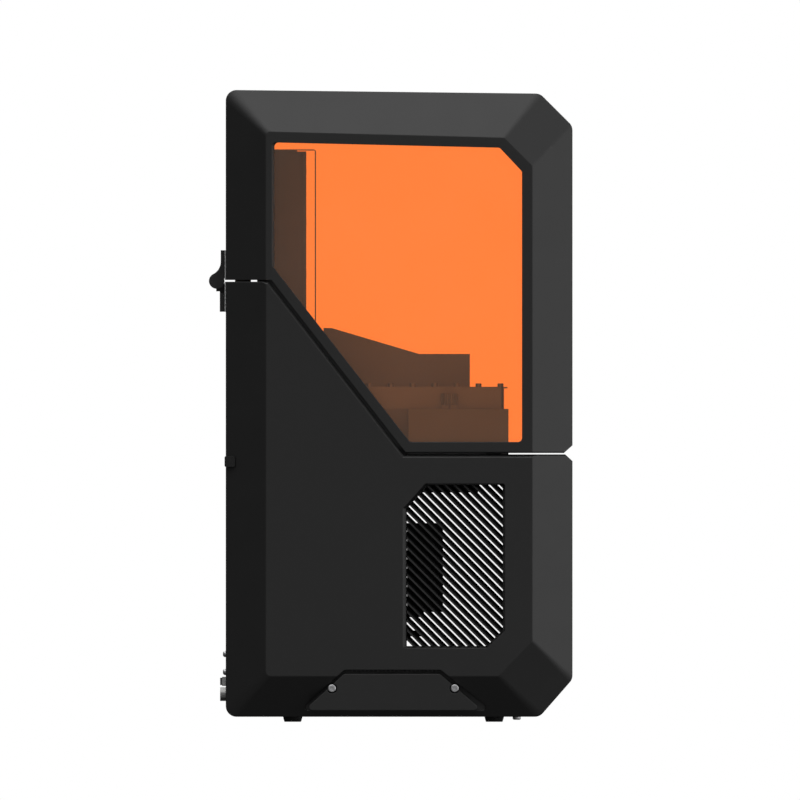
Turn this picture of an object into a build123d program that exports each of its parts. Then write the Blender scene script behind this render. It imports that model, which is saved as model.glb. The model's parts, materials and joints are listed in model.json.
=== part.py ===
from build123d import *
import math
import os

# Desktop resin printer. Millimetres, +Z up, the front faces -Y, the origin lies on the table under the
# middle of the machine, hinge included. "Depth" means the distance behind the front face.

# ---- driving dimensions ----
WIDTH = 280.0
DEPTH = 338.0
HEIGHT = 616.0
HINGE_REACH = 16.4
FOOT_HEIGHT = 4.9
WALL = 3.0
BEVEL = 39.0
SIDE_X = WIDTH / 2
SHOULDER_X = SIDE_X - 20.0
SEAM_X = 118.0
TOP_FALL = 3.6
FRONT = -(DEPTH + HINGE_REACH) / 2
REAR = FRONT + DEPTH
GAP = 0.3
BEYOND = 20.0
CORNER_R = 10.5

# parting line between lid and base
LID_REAR_Z = 430.7
LID_FRONT_Z = 263.0
BASE_REAR_Z = 429.0
BASE_FRONT_Z = 259.5
SLOT_Z = (260.7, 262.0)
RIM_CHAMFER = 1.8
FLANGE_X = 130.5
SLOPE_LIP_X = (127.6, 129.8)
FRONT_LIP_X = 118.3
SIDE_LIP_X = 128.6
LIP_END_X = 132.0
LIP_STEP_DEPTH = 61.0
FRONT_LIP_DEPTH = 12.0

# hinge
AXIS_OUT = 8.8
AXIS_Z = 429.7
KNUCKLE_R = HINGE_REACH - AXIS_OUT
HINGE_PIN_R = 3.0
HINGE_PIN_FIT = 0.05
HINGE_X = 72.0
SHIM_THICK = 1.0
LEAF_BACK = DEPTH + 4.9
FLARE_R = 13.5
FOOT_BACK = DEPTH + 9.3
FOOT_Z = 419.6
LEAF_ROOT = 2.4
LEAF_FAR = 30.0
LEAF_HALF_X = 25.0
KNUCKLE_HALF_X = 10.0
KNUCKLE_CAP = 3.0
HINGE_SCREW_X = (HINGE_X - 16, HINGE_X + 16)
HINGE_SCREW_RISE = 22.5
FLUSH_R = 3.4
FLUSH_DEEP = 2.4

# windows
REVEAL = 2.4
PANE = 3.0
CLIP = 2.0
FRONT_SPLIT = 40.0

# front and rear panels
SCREEN_X = 49.0
SCREEN_Z = (140.0, 202.0)
USB_Z = 100.0
PANEL_SPLIT = 34.0
REAR_SPLIT = 326.0
JACK_X = -70.0
JACK_Z = 27.0
JACK_R = 6.75
SWITCH_X = -38.0
SWITCH_Z = 39.4
SWITCH_HALF_X = 7.6
SWITCH_HALF_Z = 4.5
SWITCH_OUT = 3.7
SWITCH_HOLE = (5.9, 3.9)
CONNECTOR_OUT = 5.5
VENT_X = 50.0
VENT_Z = 150.0
VENT_R = 36.0

# print chamber
DECK_Z = BASE_FRONT_Z
PLATFORM_Z = 305.0
PLATFORM_X = 128.0
PLATFORM_DEPTHS = (62.4, 246.0)
WING_START = 160.0
WING_X = 114.0
VAT_FRONT = 66.8
VAT_REAR = 244.8
VAT_MID = (VAT_FRONT + VAT_REAR) / 2
VAT_HALF_X = 110.0
VAT_RIM_Z = 326.6
VAT_OPEN_X = 100.0
VAT_OPEN_D = (VAT_MID - 66, VAT_MID + 66)
VAT_KNOB_X = 118.6
VAT_KNOB_D = 120.0
FILM_EDGE = 3.0
FILM_THICK = 0.5
SCREEN_HALF = (99.0, 62.0)
BUILD_X = 192.0
BUILD_Y = 118.0
BUILD_THICK = 18.0
PLATE_BOTTOM = 306.0
PLATE_TOP = PLATE_BOTTOM + BUILD_THICK
ARM_BEAM_Z = (333.0, 345.0)
CARRIAGE_Z = (300.0, 350.0)

# Z column
MAST_FRONT = 268.5
MAST_REAR = 307.5
MAST_TOP = 558.0
MAST_HALF_X = 52.0
MAST_WALL = 14.0
RAIL_WIDE = 12.0
RAIL_HIGH = 9.0
RAIL_X = 45.0
COVER_DEPTH = 250.0
COVER_THICK = 1.2
COVER_HALF_X = 57.0
SCREW_DEPTH = 285.0
SCREW_R = 6.0
SCREW_FIT = 0.06
PLATE_DEPTH = 252.4
RUNNER_DEPTH = 255.8
CHEEK_X = 60.5
CHEEK_THICK = 5.5

# side grille
LOUVRE_PITCH = 6.33
LOUVRE_FACE = 1.25
LOUVRE_RAKE = 3.85
LOUVRE_START = -1.18
LOUVRE_COUNT = range(-13, 15)
GRILLE_FRONT_X = 135.0
GRILLE_BACK_X = 121.0
GRILLE_STEP_X = 131.0

# skirt
POCKET_FLOOR_X = 119.0
POCKET_WALL = 2.5
POCKET_R = 3.0
SKIRT_X = 136.5
SCREW_WELL_R = 5.0
SCREW_HEAD_X = 139.9
TOOTH_PITCH = 4.1
TOOTH_X = (124.0, 134.0)

# fans and lamps
FAN_SIZE = 80.0
FAN_DEEP = 25.0
FAN_BORE_R = 37.5
ROTOR_R = 36.0
HUB_R = 17.0
COOLING_FAN_DEPTH = 134.0
BULKHEAD_DEPTH = 170.0
FILTER_DEPTHS = (126.2, 161.3)
FILTER_HEIGHTS = (107.0, 193.8)
FILTER_MID_Z = sum(FILTER_HEIGHTS) / 2
FILTER_HALF_X = 43.4
LIGHT_X = 103.0
LIGHT_DEPTHS = (92.0, 220.0)
LIGHT_FLOOR = 223.5

# outlines, as (depth, height)
OUTLINE = [
    (DEPTH, FOOT_HEIGHT),
    (DEPTH, HEIGHT),
    (31.7, HEIGHT - TOP_FALL),
    (0, 580.8),
    (0, 41.5),
    (32, FOOT_HEIGHT),
]
CREASE = [
    (DEPTH - BEVEL, 44.5),
    (DEPTH - BEVEL, 575.6),
    (66.5, 569.3),
    (BEVEL, 541.8),
    (BEVEL, 79),
    (72, 44.5),
]
LID_REGION = [
    (DEPTH + BEYOND, LID_REAR_Z),
    (DEPTH + BEYOND, HEIGHT + BEYOND),
    (-BEYOND, HEIGHT + BEYOND),
    (-BEYOND, 269.5),
    (0, 269.5),
    (7.3, LID_FRONT_Z),
    (162.9, LID_FRONT_Z),
    (293.5, LID_REAR_Z),
]
BASE_REGION = [
    (DEPTH + BEYOND, -BEYOND),
    (DEPTH + BEYOND, BASE_REAR_Z),
    (296.7, BASE_REAR_Z),
    (164.7, BASE_FRONT_Z),
    (5.8, BASE_FRONT_Z),
    (0, 254.2),
    (-BEYOND, 254.2),
    (-BEYOND, -BEYOND),
]
LID_FLANGE = [
    (7.3, LID_FRONT_Z),
    (162.9, LID_FRONT_Z),
    (293.5, LID_REAR_Z),
    (330, LID_REAR_Z),
    (330, LID_REAR_Z + WALL),
    (292.0, LID_REAR_Z + WALL),
    (161.4, LID_FRONT_Z + WALL),
    (7.3, LID_FRONT_Z + WALL),
]
LIP_DEPTHS = (9.0, 160.0)
SLOPE_LIP = [
    (164.7, BASE_FRONT_Z),
    (296.7, BASE_REAR_Z),
    (306, BASE_REAR_Z),
    (306, 432.5),
    (293.3, 432.5),
    (161.6, 263.6),
    (161.6, BASE_FRONT_Z),
]
LID_NOSE = [
    (0, 269.5),
    (7.3, LID_FRONT_Z),
    (8.4, SLOT_Z[1]),
    (FRONT_LIP_DEPTH, SLOT_Z[1]),
    (FRONT_LIP_DEPTH, 266),
    (3, 272.7),
    (0, 272.7),
]
BASE_NOSE = [
    (0, 254.2),
    (5.8, BASE_FRONT_Z),
    (7.1, SLOT_Z[0]),
    (FRONT_LIP_DEPTH, SLOT_Z[0]),
    (FRONT_LIP_DEPTH, 256.5),
    (3, 248.5),
    (0, 248.5),
]
WINDOW = [
    (290.5, 441.8),
    (290.5, 564.7),
    (71, 559.6),
    (49.2, 536.5),
    (49.2, 272.8),
    (158.6, 272.8),
]
WINDOW_MOUTH = [(290.5 + REVEAL, 444.9), (290.5 + REVEAL, 564.8)] + WINDOW[2:]
GRILLE = [
    (162.0, 72),
    (162.0, 208.3),
    (140.7, 232.2),
    (65.9, 232.2),
    (65.9, 88.5),
    (83.2, 72),
]
GRILLE_MOUTH = [(165.2, 72), (165.2, 208), (143.7, 232.2)] + GRILLE[3:]
GRILLE_OPENING = [
    (161.5, 73.9),
    (161.5, 207.9),
    (140.3, 230.9),
    (68.0, 230.9),
    (68.0, 89.4),
    (83.9, 73.9),
]
SKIRT = [(261.5, 11.3), (222.7, 46.6), (129.4, 46.6), (88.0, 11.3)]
POCKET = [(265.6, 11.3), (222.4, 50.7), (128.6, 50.7), (78.8, 11.3)]
SKIRT_SCREWS = [(234.5, 32.6), (114.8, 32.6)]
FRONT_WINDOW = [(-92, 296), (92, 296), (92, 533), (70, 555), (-70, 555), (-92, 533)]
ARM_OUTLINE = [
    (RUNNER_DEPTH, 300),
    (RUNNER_DEPTH, 352),
    (242.7, 366),
    (242.7, 383.9),
    (234.8, 383.9),
    (149.6, 358.6),
    (100.1, 358.6),
    (100.1, PLATE_TOP),
    (213, PLATE_TOP),
    (213, 327.9),
    (246.5, 327.9),
    (246.5, 300),
]


# ---- helpers ----
def inset(points, distance):
    """The closed outline moved inwards by a distance on every side."""
    area = 0.0
    for (y0, z0), (y1, z1) in zip(points, points[1:] + points[:1]):
        area += y0 * z1 - y1 * z0
    turn = 1 if area > 0 else -1
    lines = []
    for (y0, z0), (y1, z1) in zip(points, points[1:] + points[:1]):
        length = math.hypot(y1 - y0, z1 - z0)
        ny, nz = -turn * (z1 - z0) / length, turn * (y1 - y0) / length
        lines.append((ny, nz, ny * y0 + nz * z0 + distance))
    moved = []
    for (a, b, c), (d, e, f) in zip(lines[-1:] + lines[:-1], lines):
        cross = a * e - b * d
        moved.append(((c * e - b * f) / cross, (a * f - c * d) / cross))
    return moved


def flat(points, radius=0.0):
    """A face drawn on the XY plane, with depth along its x and height along its y."""
    face = make_face(Polyline(*[(FRONT + d, z) for d, z in points], close=True))
    if radius:
        face = fillet(face.vertices(), radius)
    return face


def at_x(face, x):
    return Plane.YZ.offset(x) * face


def prism(face, x_from, x_to):
    return extrude(at_x(face, x_from), amount=x_to - x_from)


def frustum(face_a, x_a, face_b, x_b):
    return loft([at_x(face_a, x_a), at_x(face_b, x_b)], ruled=True)


def block(x_range, d_range, z_range):
    """A box from its limits across, in depth and in height."""
    (x0, x1), (d0, d1), (z0, z1) = x_range, d_range, z_range
    centre = ((x0 + x1) / 2, FRONT + (d0 + d1) / 2, (z0 + z1) / 2)
    return Pos(*centre) * Box(x1 - x0, d1 - d0, z1 - z0)


def rod(radius, x, d, z_from, z_to):
    """An upright cylinder."""
    return Pos(x, FRONT + d, (z_from + z_to) / 2) * Cylinder(radius, z_to - z_from)


def rod_y(radius, x, z, d_from, d_to):
    """A cylinder that points backwards."""
    place = Pos(x, FRONT + (d_from + d_to) / 2, z) * Rot(90, 0, 0)
    return place * Cylinder(radius, d_to - d_from)


def rod_x(radius, d, z, x_from, x_to):
    """A cylinder that points sideways."""
    return Pos((x_from + x_to) / 2, FRONT + d, z) * Rot(0, 90, 0) * Cylinder(radius, x_to - x_from)


def mirrored(solid):
    return mirror(solid, about=Plane.YZ)


def both(solid):
    """The solid and its mirror image across the middle plane."""
    return Compound(children=solid_list(solid) + solid_list(mirrored(solid)))


def solid_list(shape):
    return list(shape.solids())


def group(shapes):
    """Separate solids that share one node."""
    return Compound(children=[s for shape in shapes for s in shape.solids()])


def save(name, shape):
    export_step(shape, f"parts/{name}.step")


# ---- outer form ----
def full_form(outline, crease, shoulder, side, outline_r, crease_r):
    outer = flat(outline, outline_r)
    inner = flat(crease, crease_r)
    right = frustum(outer, shoulder, inner, side)
    return prism(outer, -shoulder, shoulder) + right + mirrored(right)


def outer_form():
    return full_form(OUTLINE, CREASE, SHOULDER_X, SIDE_X, CORNER_R, 5)


def inner_form():
    """The hollow: the outer form moved in by the wall, its crease almost under the outer one."""
    inner_shoulder = SHOULDER_X - 1.8
    outline, crease = inset(OUTLINE, WALL), inset(CREASE, 1.0)
    return full_form(outline, crease, inner_shoulder, SIDE_X - WALL, CORNER_R - WALL, 4)


def soften(shape, radius):
    """Rounds the long crease between the side face and its bevels."""
    edges = shape.edges().filter_by(lambda e: abs(abs(e.center().X) - SIDE_X) < 0.01)
    outer = [e for e in edges if on_crease(e)]
    return fillet(outer, radius)


def on_crease(edge):
    """True for an edge of the big crease, false for one of an opening in the side face."""
    middle = edge.center()
    depth = middle.Y - FRONT
    tests = []
    for (d0, z0), (d1, z1) in zip(CREASE, CREASE[1:] + CREASE[:1]):
        length = math.hypot(d1 - d0, z1 - z0)
        tests.append(abs((d1 - d0) * (middle.Z - z0) - (z1 - z0) * (depth - d0)) / length)
    return min(tests) < 1.5


def side_opening(mouth, throat, radius):
    """A cut through the side wall that narrows from its mouth in the outer face to its throat."""
    wide, narrow = flat(mouth, radius), flat(throat, radius)
    cut = frustum(narrow, SIDE_X - WALL, wide, SIDE_X)
    return cut + prism(wide, SIDE_X, SIDE_X + 5) + prism(narrow, SIDE_X - 12, SIDE_X - WALL)


# ---- lid ----
def lid_shell(outer, hollow):
    return (outer & prism(flat(LID_REGION), -SIDE_X, SIDE_X)) - hollow


def slot_lip(end_x, z_range):
    """Strip beside the front slot, wide in front of the vat's platform and narrow beside it."""
    front = block((FRONT_LIP_X, end_x), (LIP_DEPTHS[0], LIP_STEP_DEPTH), z_range)
    return front + block((SIDE_LIP_X, end_x), (LIP_STEP_DEPTH, LIP_DEPTHS[1]), z_range)


def lid_lip(hollow):
    """Strip under and beside the flange that narrows the front slot from above."""
    beside = slot_lip(FLANGE_X, (SLOT_Z[1], LID_FRONT_Z + WALL))
    return (beside + slot_lip(LIP_END_X, (SLOT_Z[1], LID_FRONT_Z))) & hollow


def base_lip(hollow):
    """Seal along the top of a base side: beside the front slot, then up behind the sloping gap."""
    seal = slot_lip(LIP_END_X, (BASE_FRONT_Z, SLOT_Z[0]))
    return group([seal & hollow, prism(flat(SLOPE_LIP), *SLOPE_LIP_X) & hollow])


def lid_side(shell, hollow):
    half = shell & block((SEAM_X, SIDE_X), (-1, DEPTH + 1), (200, HEIGHT + 1))
    half = soften(half, 2.0)
    half += prism(flat(LID_FLANGE), FLANGE_X, SIDE_X - WALL) & hollow
    return half - side_opening(WINDOW_MOUTH, WINDOW, 4)


def lid_middle(shell):
    return shell & block((-SEAM_X, SEAM_X), (-1, DEPTH + 1), (200, HEIGHT + 1))


def front_face(points, radius):
    face = make_face(Polyline(*points, close=True))
    return fillet(face.vertices(), radius)


def front_plane(depth):
    """A plane at a depth whose local x and y run across and up."""
    return Plane(origin=(0, FRONT + depth, 0), x_dir=(1, 0, 0), z_dir=(0, -1, 0))


def lid_front(middle):
    panel = middle & block((-SEAM_X, SEAM_X), (-1, FRONT_SPLIT), (200, HEIGHT + 1))
    wide = front_face(inset(FRONT_WINDOW, -REVEAL), 6)
    narrow = front_face(FRONT_WINDOW, 4)
    reveal = loft([front_plane(WALL) * narrow, front_plane(-0.01) * wide], ruled=True)
    panel -= reveal
    panel -= extrude(front_plane(WALL + 1) * narrow, amount=2)
    return panel + prism(flat(LID_NOSE), -SEAM_X, SEAM_X)


def lid_top(middle):
    return middle & block((-SEAM_X, SEAM_X), (FRONT_SPLIT, DEPTH + 1), (200, HEIGHT + 1))


def side_pane():
    return prism(flat(inset(WINDOW, -6), 6), SIDE_X - WALL - PANE, SIDE_X - WALL)


def front_pane():
    face = front_face(inset(FRONT_WINDOW, -6), 6)
    return extrude(front_plane(WALL + PANE) * face, amount=PANE)


def side_pane_clip():
    ring = flat(inset(WINDOW, -6), 6) - flat(inset(WINDOW, -1), 5)
    return prism(ring, SIDE_X - WALL - PANE - CLIP, SIDE_X - WALL - PANE)


def front_pane_clip():
    ring = front_face(inset(FRONT_WINDOW, -6), 6) - front_face(inset(FRONT_WINDOW, -1), 5)
    return extrude(front_plane(WALL + PANE + CLIP) * ring, amount=CLIP)


# ---- hinge ----
def flare_face():
    """Section of the lid's leaf, whose back sweeps out to the knuckle in one hollow curve."""
    rise = math.sqrt((FLARE_R + KNUCKLE_R) ** 2 - (LEAF_BACK + FLARE_R - DEPTH - AXIS_OUT) ** 2)
    start = (FRONT + LEAF_BACK, AXIS_Z + rise)
    centre = (start[0] + FLARE_R, start[1])
    axis = (FRONT + DEPTH + AXIS_OUT, AXIS_Z)
    share = KNUCKLE_R / (KNUCKLE_R + FLARE_R)
    meet = (axis[0] + (centre[0] - axis[0]) * share, axis[1] + (centre[1] - axis[1]) * share)
    half_turn = (math.pi + math.atan2(centre[1] - meet[1], centre[0] - meet[0])) / 2
    middle = (centre[0] - FLARE_R * math.sin(half_turn), centre[1] - FLARE_R * abs(math.cos(half_turn)))
    inside = FRONT + DEPTH + SHIM_THICK
    curve = ThreePointArc(start, middle, meet)
    rest = Polyline(meet, axis, (axis[0], AXIS_Z + LEAF_ROOT), (inside, AXIS_Z + LEAF_ROOT),
                    (inside, AXIS_Z + LEAF_FAR), (start[0], AXIS_Z + LEAF_FAR), start)
    return make_face(curve + rest)


def foot_face():
    """Leaf of the base's half, with a small foot under the knuckle."""
    points = [
        (DEPTH + SHIM_THICK, AXIS_Z - LEAF_ROOT),
        (DEPTH + AXIS_OUT, AXIS_Z),
        (FOOT_BACK, AXIS_Z - LEAF_ROOT),
        (FOOT_BACK, FOOT_Z),
        (LEAF_BACK + 0.9, FOOT_Z),
        (LEAF_BACK + 0.9, AXIS_Z - LEAF_FAR),
        (DEPTH + SHIM_THICK, AXIS_Z - LEAF_FAR),
    ]
    return flat(points)


def hinge_half(profile, back, spans, plate_z):
    """Knuckles on the given spans, joined by one leaf plate."""
    width = (HINGE_X - LEAF_HALF_X, HINGE_X + LEAF_HALF_X)
    half = block(width, (DEPTH + SHIM_THICK, back), plate_z)
    for start, end in spans:
        half += prism(profile, start, end)
        half += rod_x(KNUCKLE_R, DEPTH + AXIS_OUT, AXIS_Z, start, end)
    return half


def hinge_base():
    spans = [(HINGE_X - KNUCKLE_HALF_X, HINGE_X + KNUCKLE_HALF_X)]
    half = hinge_half(foot_face(), LEAF_BACK + 0.9, spans, (AXIS_Z - LEAF_FAR, AXIS_Z - 12))
    half -= rod_x(HINGE_PIN_R, DEPTH + AXIS_OUT, AXIS_Z, HINGE_X - 40, HINGE_X + 40)
    return half - group([screw_seat(x, AXIS_Z - HINGE_SCREW_RISE, LEAF_BACK + 0.9) for x in HINGE_SCREW_X])


def hinge_lid():
    gap = KNUCKLE_HALF_X + 0.5
    spans = [(HINGE_X - LEAF_HALF_X, HINGE_X - gap), (HINGE_X + gap, HINGE_X + LEAF_HALF_X)]
    half = hinge_half(flare_face(), LEAF_BACK, spans, (AXIS_Z + 12, AXIS_Z + LEAF_FAR))
    end = HINGE_X + LEAF_HALF_X - KNUCKLE_CAP + GAP
    half -= rod_x(HINGE_PIN_R + HINGE_PIN_FIT, DEPTH + AXIS_OUT, AXIS_Z, HINGE_X - 40, end)
    return half - group([screw_seat(x, AXIS_Z + HINGE_SCREW_RISE, LEAF_BACK) for x in HINGE_SCREW_X])


def hinge_pin():
    end = HINGE_X + LEAF_HALF_X - KNUCKLE_CAP
    return rod_x(HINGE_PIN_R, DEPTH + AXIS_OUT, AXIS_Z, HINGE_X - LEAF_HALF_X, end)


def hinge_shim(z_range):
    """Thin plate between a leaf and the rear face."""
    return block((HINGE_X - LEAF_HALF_X, HINGE_X + LEAF_HALF_X), (DEPTH, DEPTH + SHIM_THICK), z_range)


def screw_seat(x, z, back):
    return rod_y(FLUSH_R, x, z, back - FLUSH_DEEP, back + 1)


def flush_screw(x, z, back):
    """A flat screw head let into the leaf, with a hexagonal socket."""
    head = rod_y(FLUSH_R, x, z, back - FLUSH_DEEP, back - GAP)
    socket = Plane(origin=(x, FRONT + back - GAP, z), x_dir=(1, 0, 0), z_dir=(0, 1, 0))
    return head - extrude(socket * RegularPolygon(1.6, 6), amount=-1.5)


def hinge_screws(z, back):
    return both(group([flush_screw(x, z, back) for x in HINGE_SCREW_X]))


def dome_head(radius, height, d, x, z):
    """A domed screw head on the rear face, with a hexagonal socket."""
    head = rod_y(radius, x, z, d, d + height)
    head = fillet(head.edges().sort_by(Axis.Y)[-1], height * 0.8)
    socket = Plane(origin=(x, FRONT + d + height, z), x_dir=(1, 0, 0), z_dir=(0, 1, 0))
    return head - extrude(socket * RegularPolygon(radius * 0.42, 6), amount=-height * 0.5)


# ---- base covers ----
def base_shell(outer, hollow):
    return (outer & prism(flat(BASE_REGION), -SIDE_X, SIDE_X)) - hollow


def base_side(outer, hollow):
    region, trimmed = flat(BASE_REGION), flat(inset(BASE_REGION, RIM_CHAMFER))
    slab = prism(region, SEAM_X, SIDE_X - RIM_CHAMFER)
    slab += frustum(region, SIDE_X - RIM_CHAMFER, trimmed, SIDE_X)
    room = hollow & prism(flat(inset(BASE_REGION, WALL)), 0, SIDE_X)
    half = soften((outer & slab) - room, 2.0)
    half -= side_opening(GRILLE_MOUTH, GRILLE, 2)
    half += pocket_pan() & outer
    half -= skirt_pocket()
    half += pocket_teeth()
    return half - side_clip()


def pocket_pan():
    """Solid behind the skirt, which the pocket is then cut from."""
    return prism(flat(inset(POCKET, -POCKET_WALL)), POCKET_FLOOR_X - POCKET_WALL, SIDE_X)


def skirt_pocket():
    """Recess that the skirt stands in, with a groove left open round it."""
    room = prism(flat(POCKET, POCKET_R), POCKET_FLOOR_X, SIDE_X + 1)
    for d, z in SKIRT_SCREWS:
        room += rod_x(SCREW_WELL_R, d, z, POCKET_FLOOR_X, SIDE_X + 1)
    return room


def pocket_teeth():
    """Row of small ribs that hang in the groove above the skirt."""
    teeth = []
    top = POCKET[1][1]
    count = int((POCKET[1][0] - POCKET[2][0]) / TOOTH_PITCH) - 1
    for index in range(1, count + 1):
        d = POCKET[2][0] + index * TOOTH_PITCH
        teeth.append(block(TOOTH_X, (d - 0.7, d + 0.7), (top - 1.9, top + 1)))
    return group(teeth)


def base_middle(outer, hollow):
    return base_shell(outer, hollow) & block((-SEAM_X, SEAM_X), (-1, DEPTH + 1), (0, BASE_REAR_Z))


def base_front(middle):
    panel = middle & block((-SEAM_X, SEAM_X), (-1, PANEL_SPLIT), (0, BASE_REAR_Z))
    panel -= block((-SCREEN_X, SCREEN_X), (-1, WALL + 1), SCREEN_Z)
    panel -= block((-7.5, 7.5), (-1, WALL + 1), (USB_Z - 3.6, USB_Z + 3.6))
    return panel + prism(flat(BASE_NOSE), -SEAM_X, SEAM_X)


def base_bottom(middle):
    plate = middle & block((-SEAM_X, SEAM_X), (PANEL_SPLIT, REAR_SPLIT), (0, 60))
    slot = SlotOverall(60, 4, rotation=90)
    for x in range(-60, 61, 15):
        plate -= extrude(Pos(x, FRONT + 190, 0) * slot, amount=20)
    return plate


def base_rear(middle):
    panel = middle & block((-SEAM_X, SEAM_X), (REAR_SPLIT, DEPTH + 1), (0, BASE_REAR_Z))
    panel -= rod_y(5.6, JACK_X, JACK_Z, DEPTH - 5, DEPTH + 1)
    panel -= switch_block(6.4, 4.1, DEPTH - 5, DEPTH + 1)
    for row in range(-4, 5):
        z = VENT_Z + row * 8
        half = math.sqrt(VENT_R**2 - (row * 8) ** 2)
        panel -= block((VENT_X - half, VENT_X + half), (DEPTH - 5, DEPTH + 1), (z - 2, z + 2))
    return panel


def deck_plate():
    plate = block((-SEAM_X, SEAM_X), (FRONT_LIP_DEPTH, DEPTH - WALL), (DECK_Z - WALL, DECK_Z))
    plate -= block((-104, 104), (90, 222), (DECK_Z - 10, DECK_Z + 10))
    plate -= rod(8, 0, SCREW_DEPTH, DECK_Z - 10, DECK_Z + 10)
    return plate


def inner_cheek():
    """Panel that closes the raised wing of the base towards the print chamber."""
    points = [
        (168.3, DECK_Z),
        (DEPTH - WALL, DECK_Z),
        (DEPTH - WALL, BASE_REAR_Z - WALL),
        (299.5, BASE_REAR_Z - WALL),
    ]
    return prism(flat(points), SEAM_X - 2.5, SEAM_X)


# ---- louvres and skirt ----
def louvre_panel():
    """Frame with deep raked blades that run down to the front at 45 degrees."""
    opening = flat(GRILLE_OPENING)
    panel = prism(flat(inset(GRILLE, -6)) - flat(GRILLE), GRILLE_STEP_X, SIDE_X - WALL)
    panel += prism(flat(inset(GRILLE, -3)) - opening, GRILLE_BACK_X, GRILLE_STEP_X)
    centre_d = (GRILLE_MOUTH[0][0] + 66.8) / 2
    centre_z = (72 + 231.8) / 2
    window = prism(opening, GRILLE_BACK_X, GRILLE_FRONT_X)
    for index in LOUVRE_COUNT:
        blade = louvre_blade(LOUVRE_START + index * LOUVRE_PITCH, centre_d, centre_z)
        panel += blade & window
    return panel


def louvre_blade(offset, centre_d, centre_z):
    """One blade; the offset is measured up and to the front, square to the blades."""
    reach = 130.0
    half = math.sqrt(0.5)
    middle = (0, FRONT + centre_d - offset * half, centre_z + offset * half)
    frame = Plane(origin=middle, x_dir=(0, -half, half), z_dir=(0, half, half))
    return extrude(frame * blade_section(), amount=reach, both=True)


def blade_section():
    """Raked section: a narrow face outside, leaning towards the top front inside."""
    points = [
        (0, GRILLE_FRONT_X),
        (LOUVRE_FACE, GRILLE_FRONT_X),
        (LOUVRE_FACE + LOUVRE_RAKE, GRILLE_BACK_X),
        (LOUVRE_RAKE, GRILLE_BACK_X),
    ]
    return make_face(Polyline(*points, close=True))


def skirt_plate():
    """Plate with a rim that runs back to the pocket's floor, and a well for each screw."""
    plate = prism(flat(SKIRT, POCKET_R), POCKET_FLOOR_X, SKIRT_X + WALL)
    plate -= prism(flat(inset(SKIRT, 2.5)), POCKET_FLOOR_X - 1, SKIRT_X)
    for d, z in SKIRT_SCREWS:
        plate += rod_x(SCREW_WELL_R - 1, d, z, POCKET_FLOOR_X, SKIRT_X)
        plate -= rod_x(SCREW_WELL_R, d, z, SKIRT_X - 0.5, SKIRT_X + 5)
        plate -= rod_x(2.0, d, z, POCKET_FLOOR_X - 1, SKIRT_X + 5)
    return plate


def skirt_screw(d, z):
    head = rod_x(3.95, d, z, SKIRT_X - 0.5, SCREW_HEAD_X)
    head = fillet(head.edges().sort_by(Axis.X)[-1], 1.0)
    socket = Plane(origin=(SCREW_HEAD_X, FRONT + d, z), x_dir=(0, 1, 0), z_dir=(1, 0, 0))
    head -= extrude(socket * RegularPolygon(1.7, 6), amount=-1.4)
    return head + rod_x(2.0, d, z, POCKET_FLOOR_X, SKIRT_X)


# ---- small outside parts ----
def foot(x, d):
    cone = Pos(x, FRONT + d, FOOT_HEIGHT / 2) * Cone(8.2, 9.5, FOOT_HEIGHT)
    return fillet(cone.edges().sort_by(Axis.Z)[0], 1.0)


def bottom_screw(x, d):
    head = rod(4.1, x, d, FOOT_HEIGHT - 2.9, FOOT_HEIGHT)
    return fillet(head.edges().sort_by(Axis.Z)[0], 1.6)


def power_jack():
    barrel = rod_y(5.5, JACK_X, JACK_Z, DEPTH - 16, DEPTH)
    barrel += rod_y(JACK_R, JACK_X, JACK_Z, DEPTH, DEPTH + CONNECTOR_OUT)
    return barrel - rod_y(4.4, JACK_X, JACK_Z, DEPTH - 8, DEPTH + 7)


def power_jack_pins():
    pins = []
    for dx in (-1.6, 1.6):
        for dz in (-1.6, 1.6):
            pins.append(rod_y(0.6, JACK_X + dx, JACK_Z + dz, DEPTH - 8, DEPTH + 3))
    return group(pins)


def switch_block(half_x, half_z, d_from, d_to):
    x_range = (SWITCH_X - half_x, SWITCH_X + half_x)
    return block(x_range, (d_from, d_to), (SWITCH_Z - half_z, SWITCH_Z + half_z))


def switch_housing():
    shell = switch_block(SWITCH_HALF_X, SWITCH_HALF_Z, DEPTH, DEPTH + SWITCH_OUT)
    shell += switch_block(6.4, 4.1, DEPTH - 14, DEPTH)
    return shell - switch_block(*SWITCH_HOLE, DEPTH - 10, DEPTH + 5)


def rocker():
    """Paddle with two sloping halves that tips about an upright pin."""
    half_x, half_z, middle = 5.2, 3.6, 4.0
    back = FRONT + DEPTH - 3
    points = [
        (SWITCH_X - half_x, back),
        (SWITCH_X + half_x, back),
        (SWITCH_X + half_x, FRONT + DEPTH + CONNECTOR_OUT),
        (SWITCH_X, FRONT + DEPTH + middle),
        (SWITCH_X - half_x, FRONT + DEPTH + CONNECTOR_OUT),
    ]
    face = make_face(Polyline(*points, close=True))
    return extrude(Pos(0, 0, SWITCH_Z - half_z) * face, amount=2 * half_z)


def touch_screen():
    fit = 0.2
    z_range = (SCREEN_Z[0] + fit, SCREEN_Z[1] - fit)
    glass = block((-SCREEN_X + fit, SCREEN_X - fit), (0.4, 2.6), z_range)
    return fillet(glass.edges().filter_by(Axis.Y), 2.0)


def display_board():
    return block((-SCREEN_X - 4, SCREEN_X + 4), (WALL, 12), (SCREEN_Z[0] - 4, SCREEN_Z[1] + 4))


def usb_port():
    shell = block((-7.2, 7.2), (0.6, 16), (USB_Z - 3.3, USB_Z + 3.3))
    shell -= block((-6.4, 6.4), (-1, 14), (USB_Z - 2.5, USB_Z + 2.5))
    tongue = block((-5.4, 5.4), (2, 14.5), (USB_Z - 0.9, USB_Z + 0.9))
    return shell + tongue


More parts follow.
